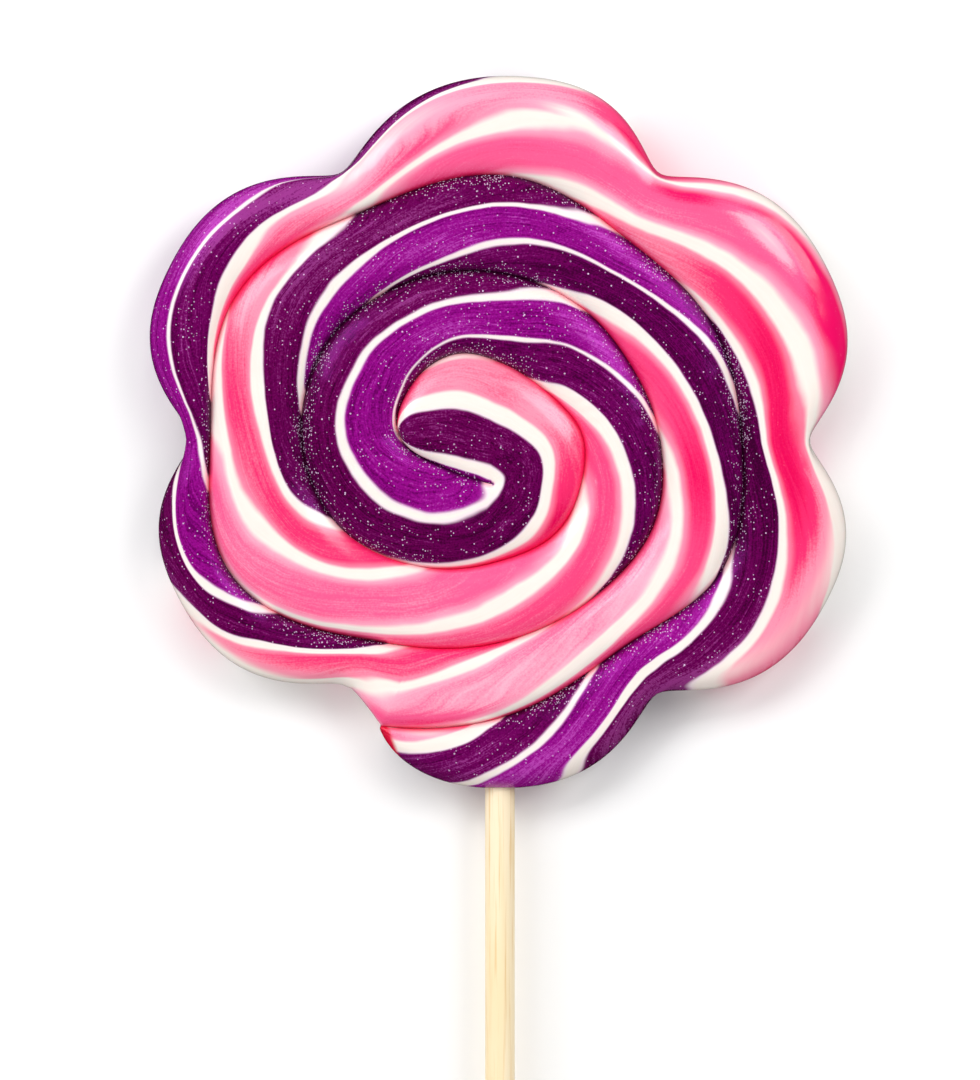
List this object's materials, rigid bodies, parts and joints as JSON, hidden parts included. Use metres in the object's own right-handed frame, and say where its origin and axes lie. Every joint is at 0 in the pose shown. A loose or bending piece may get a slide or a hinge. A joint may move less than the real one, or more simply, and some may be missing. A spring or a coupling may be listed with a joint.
{
  "type": "swirl lollipop",
  "caption": "Flower-shaped swirl lollipop of striped boiled sugar, coiled inwards as one rope and pressed flat, on a round bamboo stick.",
  "frame": {"origin": "middle of the coil on the sweet's flat back", "axes": "+Z out of the swirl's face, -Y along the stick towards its free end, +X to the right as the face is seen with the stick down"},
  "size_m": [0.0932, 0.2295, 0.01],
  "materials": {
    "boiled_sugar": "glossy pressed boiled sugar, pink and purple with cream stripes",
    "bamboo": "bare split bamboo, turned round and sanded"
  },
  "bodies": {
    "root": {"candy": "boiled_sugar", "stick": "bamboo"}
  },
  "joints": []
}
